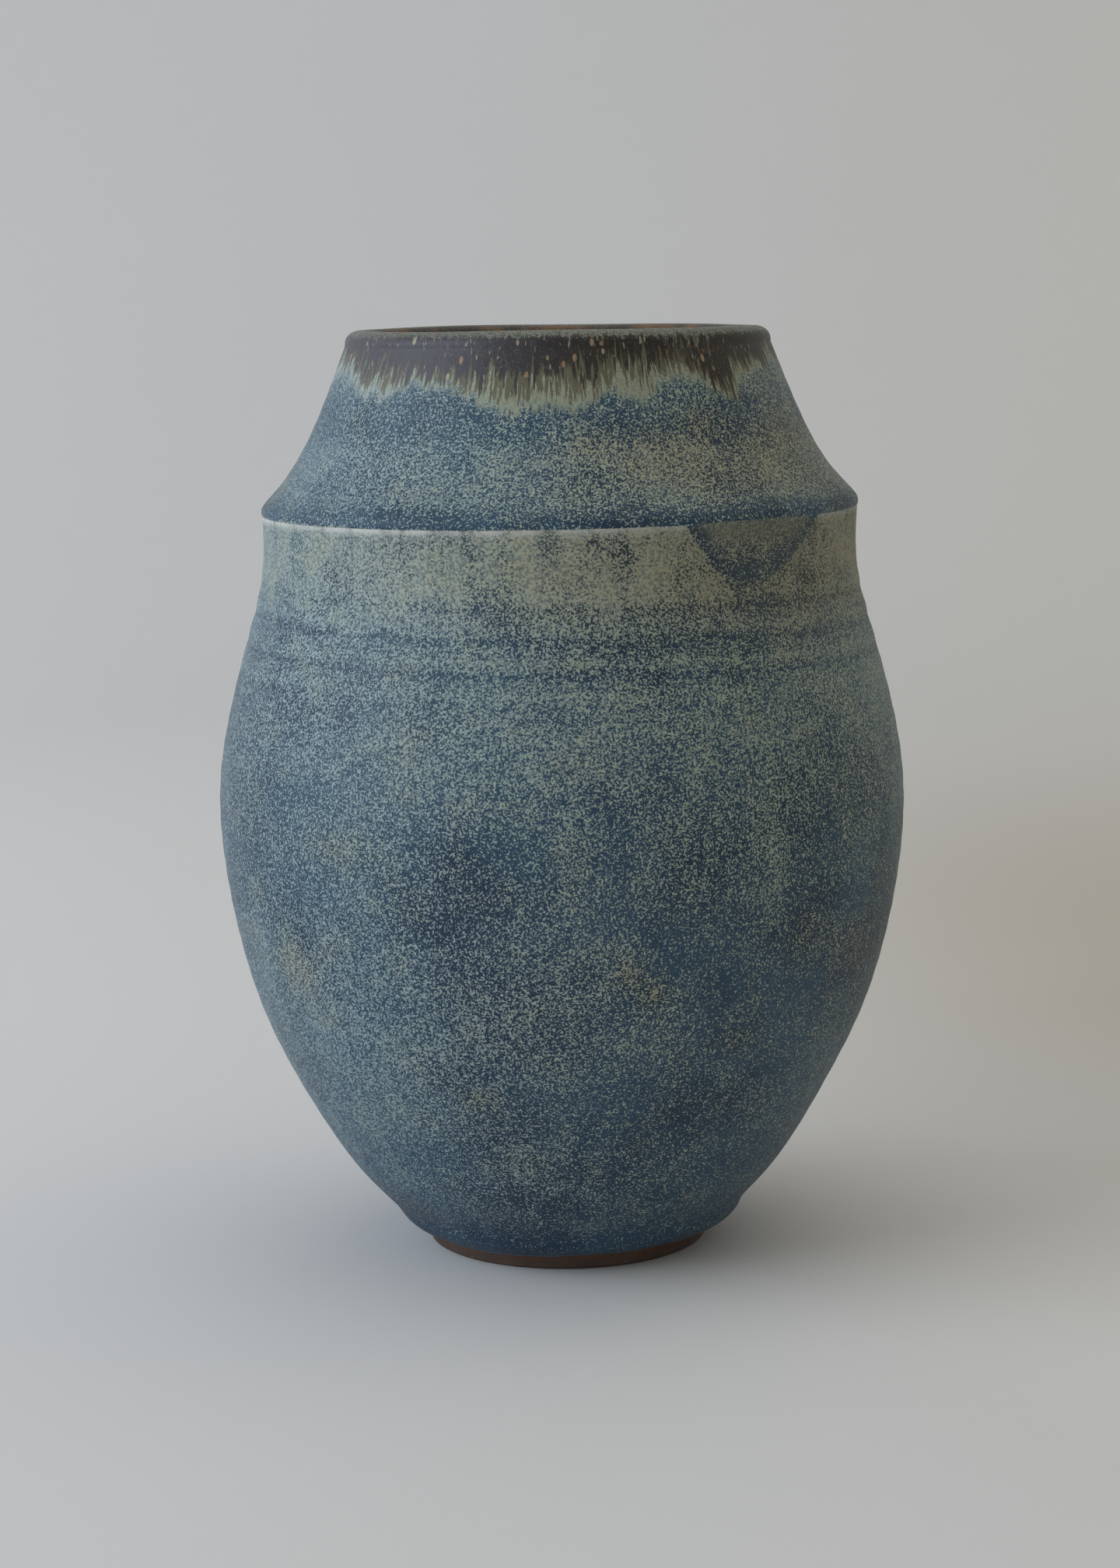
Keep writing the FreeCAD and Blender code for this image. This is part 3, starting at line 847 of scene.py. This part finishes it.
def run_piece():
    """The run: a thin lens of glaze that thickens towards its lower edge."""
    columns = 110
    rows = 40
    belly = spline(BELLY, 0.5)
    start, stop = RUN_EDGE[0][0], RUN_EDGE[-1][0]
    angles = np.linspace(start, stop, columns)
    bottom = run_edge(angles)
    across = np.linspace(0, 1, rows)
    verts = []
    for side in (1, 0):
        for a, low in zip(angles, bottom):
            drop = max(CREASE + 0.35 - low, 0.05)
            z = CREASE + 0.35 - across * drop
            r = np.interp(z, belly[:, 1], belly[:, 0])
            edge = (1 - across) * drop
            ends = min(a - start, stop - a) * 1.5
            thick = 0.24 * np.sqrt(np.clip(edge / 1.6, 0, 1)) * math.sqrt(min(1.0, max(ends, 0.0) / 1.5))
            thick = thick + 0.08 * np.exp(-((edge - 1.6) / 1.3) ** 2) * min(1.0, ends / 3.0)
            phi = np.full(rows, math.radians(a))
            off = thick + 0.02 if side else np.full(rows, -0.02)
            verts.append(place(phi, r + off, z, 1.0))
    verts = np.concatenate(verts)
    half = columns * rows
    faces = []
    for i in range(columns - 1):
        for j in range(rows - 1):
            a = i * rows + j
            b = a + rows
            faces.append((a, a + 1, b + 1, b))
            faces.append((half + a, half + b, half + b + 1, half + a + 1))
    ring = [i * rows for i in range(columns)]
    ring += [(columns - 1) * rows + j for j in range(1, rows)]
    ring += [i * rows + rows - 1 for i in range(columns - 2, -1, -1)]
    ring += [j for j in range(rows - 2, 0, -1)]
    for k, a in enumerate(ring):
        b = ring[(k + 1) % len(ring)]
        faces.append((a, b, half + b, half + a))
    return mesh_object("glaze_run_drip", verts, faces, RUN, "glaze_run")


lower_body_piece()
shoulder_section_piece()
belly_piece()
shoulder_piece()
rim_piece()
liner_piece()
run_piece()


# ---------------------------------------------------------------------------
# Setting: pale sweep, soft window light from the left, camera
# ---------------------------------------------------------------------------

SWEEP_FLAT = 1.3
SWEEP_BEND = 0.9
SWEEP_TOP = 1.9
SWEEP_SIDES = 128
PAPER_DIM = (0.705, 0.705, 0.725)
PAPER_LIGHT = (0.735, 0.735, 0.755)
PAPER_PAINTED_SHADE = (0.2, 0.19, 0.175)
PAPER_PAINTED_SHADOW = (0.42, 0.375, 0.30)
PAPER_PAINTED_WARM_LIGHT = (0.69, 0.675, 0.61)
PAPER_PAINTED_LIGHT = (0.86, 0.85, 0.84)


def sweep_material():
    """Pale paper, with painted shade and painted warm light on the side far from the window, a painted
    shadow to the right behind the vase and painted light on the floor just right of its foot.
    """
    g = Graph("sweep_paper")
    soft = g.noise(g.point, 1.6, 2.0, 0.5)
    fine = g.noise(g.point, 420.0, 2.0, 0.5)
    colour = g.blend(soft, PAPER_DIM, PAPER_LIGHT)
    # painted shade: the paper darkens on the side far from the window, where less of its light falls
    painted_shade_side = g.add(g.mul(g.x, 0.8), g.mul(g.y, -0.6))
    colour = g.blend(g.mul(g.rise(painted_shade_side, 0.5, 2.0), 0.66), colour, PAPER_PAINTED_SHADE)
    # painted shadow: a darker, duller patch to the right behind the vase, where its cast shadow falls
    painted_shadow_right = g.mul(g.rise(g.x, -0.1, 0.35), g.band(g.y, 0.0, 0.35, 0.45, 1.3))
    colour = g.blend(g.mul(painted_shadow_right, 0.8), colour, PAPER_PAINTED_SHADOW)
    # painted warm light: the paper turns warmer towards the right, where the warm fill light falls
    colour = g.blend(g.mul(g.rise(g.x, -0.2, 0.7), 0.5), colour, PAPER_PAINTED_WARM_LIGHT)
    # painted light: a paler patch on the floor just right of the vase's foot, lightening its shadow there
    painted_light_near = g.mul(g.band(g.x, -0.02, 0.1, 0.14, 0.4), g.band(g.y, -0.25, -0.08, 0.0, 0.2))
    colour = g.blend(g.mul(painted_light_near, 0.45), colour, PAPER_PAINTED_LIGHT)
    g.link(colour, g.shader.inputs["Base Color"])
    g.link(g.add(0.86, g.mul(fine, 0.1)), g.shader.inputs["Roughness"])
    g.shader.inputs["Specular IOR Level"].default_value = 0.2
    return g.material


def sweep():
    """A round pale sweep: flat floor that curves up into a wall on all sides."""
    rows = [(0.0, 0.0), (0.3, 0.0), (0.8, 0.0)]
    rows += [
        (SWEEP_FLAT + SWEEP_BEND * math.sin(t), SWEEP_BEND * (1 - math.cos(t)))
        for t in np.linspace(0, math.pi / 2, 24)
    ]
    rows.append((SWEEP_FLAT + SWEEP_BEND, SWEEP_TOP))
    count = SWEEP_SIDES
    verts = [(0.0, 0.0, 0.0)]
    for r, z in rows[1:]:
        for k in range(count):
            a = 2 * math.pi * k / count
            verts.append((r * math.cos(a), r * math.sin(a), z))
    faces = [(0, 1 + k, 1 + (k + 1) % count) for k in range(count)]
    for i in range(len(rows) - 2):
        a = 1 + i * count
        b = a + count
        faces += [(a + k, b + k, b + (k + 1) % count, a + (k + 1) % count) for k in range(count)]
    mesh = bpy.data.meshes.new("sweep")
    mesh.from_pydata(verts, [], faces)
    mesh.polygons.foreach_set("use_smooth", [True] * len(mesh.polygons))
    mesh.materials.append(sweep_material())
    obj = bpy.data.objects.new("sweep", mesh)
    bpy.context.scene.collection.objects.link(obj)


# Lights: (name, place in metres, aimed at, width, height, watts, colour)
LIGHTS = [
    ("window", (-1.7, -0.55, 0.83), (0.0, 0.0, 0.14), 2.0, 1.45, 27.4, (0.80, 0.91, 1.0)),
    ("ceiling", (0.2, 0.3, 1.75), (0.1, 0.1, 0.0), 1.8, 1.8, 5.0, (1.0, 0.97, 0.93)),
    ("back_left", (-1.45, 0.9, 0.95), (-0.5, 1.8, 0.5), 0.9, 1.2, 4.2, (0.82, 0.92, 1.0)),
    ("fill", (1.9, 0.2, 0.7), (0.0, 0.0, 0.15), 1.2, 1.2, 1.0, (1.0, 0.9, 0.76)),
]
ROOM_COLOUR = (1.0, 0.93, 0.81, 1.0)
ROOM_STRENGTH = 0.4


def area_light(name, place_at, aim_at, width, height, power, colour):
    """A soft rectangular light that the camera doesn't see."""
    light = bpy.data.lights.new(name, "AREA")
    light.shape = "RECTANGLE"
    light.size = width
    light.size_y = height
    light.energy = power
    light.color = colour
    obj = bpy.data.objects.new(name, light)
    obj.location = place_at
    direction = Vector(aim_at) - Vector(place_at)
    obj.rotation_euler = direction.to_track_quat("-Z", "Y").to_euler()
    obj.visible_camera = False
    bpy.context.scene.collection.objects.link(obj)


def lighting():
    """A dim warm room, and the window and its reflections as area lights."""
    world = bpy.data.worlds.new("room")
    bpy.context.scene.world = world
    world.use_nodes = True
    background = world.node_tree.nodes["Background"]
    background.inputs["Color"].default_value = ROOM_COLOUR
    background.inputs["Strength"].default_value = ROOM_STRENGTH
    for light in LIGHTS:
        area_light(*light)


SENSOR_MM = 36.0
LENS_MM = 76.5
CAMERA_AT = Vector((0.0, -1.0468, 0.3058))
PITCH = math.radians(8.67)
ROLL = math.radians(-0.82)
YAW = -0.0011


def camera():
    """A long lens a little over a metre in front, looking slightly down."""
    level = math.cos(PITCH)
    forward = Vector((math.sin(YAW) * level, math.cos(YAW) * level, -math.sin(PITCH)))
    right = Vector((math.cos(YAW), -math.sin(YAW), 0.0))
    up = right.cross(forward)
    x_axis = right * math.cos(ROLL) + up * math.sin(ROLL)
    y_axis = up * math.cos(ROLL) - right * math.sin(ROLL)
    data = bpy.data.cameras.new("camera")
    data.sensor_width = SENSOR_MM
    data.lens = LENS_MM
    data.clip_start = 0.05
    data.clip_end = 50.0
    obj = bpy.data.objects.new("camera", data)
    turn = Matrix((x_axis, y_axis, -forward)).transposed().to_4x4()
    obj.matrix_world = Matrix.Translation(CAMERA_AT) @ turn
    bpy.context.scene.collection.objects.link(obj)
    bpy.context.scene.camera = obj


sweep()
lighting()
camera()
bpy.context.scene.view_settings.view_transform = "Standard"
